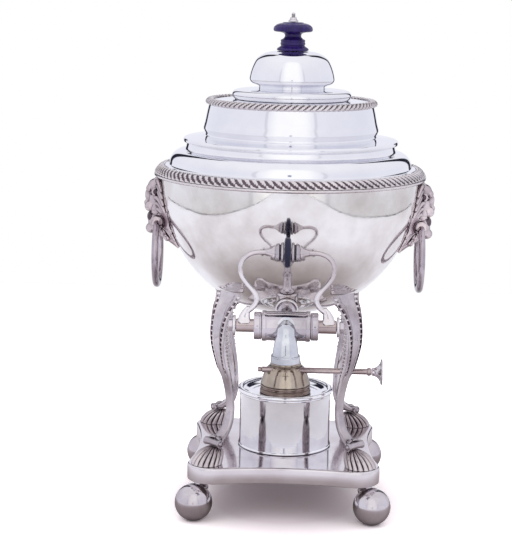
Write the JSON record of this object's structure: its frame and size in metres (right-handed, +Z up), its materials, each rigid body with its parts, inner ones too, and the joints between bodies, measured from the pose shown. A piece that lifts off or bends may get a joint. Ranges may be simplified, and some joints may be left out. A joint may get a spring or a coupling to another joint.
{
  "type": "tea urn",
  "caption": "Lamp-heated tea urn on shell-footed legs: round bowl with lion ring handles, lever tap, domed lift-off cover, ball-footed base and spirit lamp.",
  "frame": {"origin": "ground level, at the centre of the part's footprint box; the urn's own axis stands at y = +0.0182 m", "axes": "+Z up along the urn's axis, -Y towards the front where the tap stands, +X to the right of someone who faces the tap"},
  "size_m": [0.237, 0.2566, 0.4],
  "materials": {
    "silver": "polished silver plate, hand burnished",
    "worn_silver": "silver plate worn warm and a little dull",
    "ebony": "turned, stained near black and polished",
    "brass": "brushed and slightly tarnished",
    "coppered": "silver plate worn so that copper shows",
    "cotton": "woven cotton wick"
  },
  "bodies": {
    "body": {"ball_foot_back_right": "silver", "shell_foot_back_right": "silver", "leg_back_right": "worn_silver", "ball_foot_back_left": "silver", "shell_foot_back_left": "silver", "leg_back_left": "worn_silver", "ball_foot_front_left": "silver", "shell_foot_front_left": "silver", "leg_front_left": "worn_silver", "ball_foot_front_right": "silver", "shell_foot_front_right": "silver", "leg_front_right": "worn_silver", "base_plate": "silver", "bowl": "silver", "body_shoulder": "silver", "body_gadroon_border": "silver", "tap_spout": "silver", "tap_strainer": "brass", "tap_body": "worn_silver", "tap_rose": "worn_silver", "lion_mask_right": "worn_silver", "barrel_cap_right": "silver", "lion_mask_left": "worn_silver", "barrel_cap_left": "silver"},
    "cover": {"cover_base": "silver", "cover_bezel": "silver", "cover_gadroon_border": "silver", "cover_dome": "silver", "cover_knob": "ebony", "knob_screw": "silver", "knob_washer": "brass", "knob_nut": "silver"},
    "ring_right": {"ring_handle_right": "silver"},
    "ring_left": {"ring_handle_left": "silver"},
    "tap_lever": {"tap_plug": "worn_silver", "lever_disc": "ebony", "lever_pin": "silver", "shaft_washer_right": "silver", "shaft_washer_left": "silver", "shaft_nut_right": "worn_silver", "shaft_nut_left": "worn_silver", "lever_arm_right": "silver", "lever_arm_left": "silver", "lever_boss_right": "silver", "lever_boss_left": "silver"},
    "lamp": {"lamp_reservoir": "silver", "lamp_top": "silver", "burner_base": "brass", "burner_dome": "brass", "wick_tube": "brass"},
    "winder": {"winder_shaft": "coppered", "winder_knob": "coppered", "winder_pinion": "brass"},
    "lamp_wick": {"wick": "cotton"}
  },
  "joints": [
    {"name": "cover_lift", "type": "slide", "parent": "body", "child": "cover", "axis": [0, 0, 1], "range_m": [0, 0.08]},
    {"name": "ring_right_swing", "type": "hinge", "parent": "body", "child": "ring_right", "pos_m": [0.1073, 0.0182, 0.2303], "axis": [0, -1, 0], "range_deg": [-30, 80]},
    {"name": "ring_left_swing", "type": "hinge", "parent": "body", "child": "ring_left", "pos_m": [-0.1073, 0.0182, 0.2303], "axis": [0, 1, 0], "range_deg": [-30, 80]},
    {"name": "tap_turn", "type": "hinge", "parent": "body", "child": "tap_lever", "pos_m": [0, -0.1048, 0.171], "axis": [1, 0, 0], "range_deg": [0, 90]},
    {"name": "lamp_slide", "type": "slide", "parent": "body", "child": "lamp", "axis": [1, 0, 0], "range_m": [0, 0.12]},
    {"name": "winder_turn", "type": "hinge", "parent": "lamp", "child": "winder", "pos_m": [0, 0.0101, 0.109], "axis": [1, 0, 0], "range_deg": [-65, 65]},
    {"name": "wick_rise", "type": "slide", "parent": "lamp", "child": "lamp_wick", "axis": [0, 0, 1], "range_m": [-0.0039, 0.0039]}
  ],
  "couplings": [
    {"joint": "winder_turn", "follows": "wick_rise", "rad_per_m": 289.86}
  ]
}
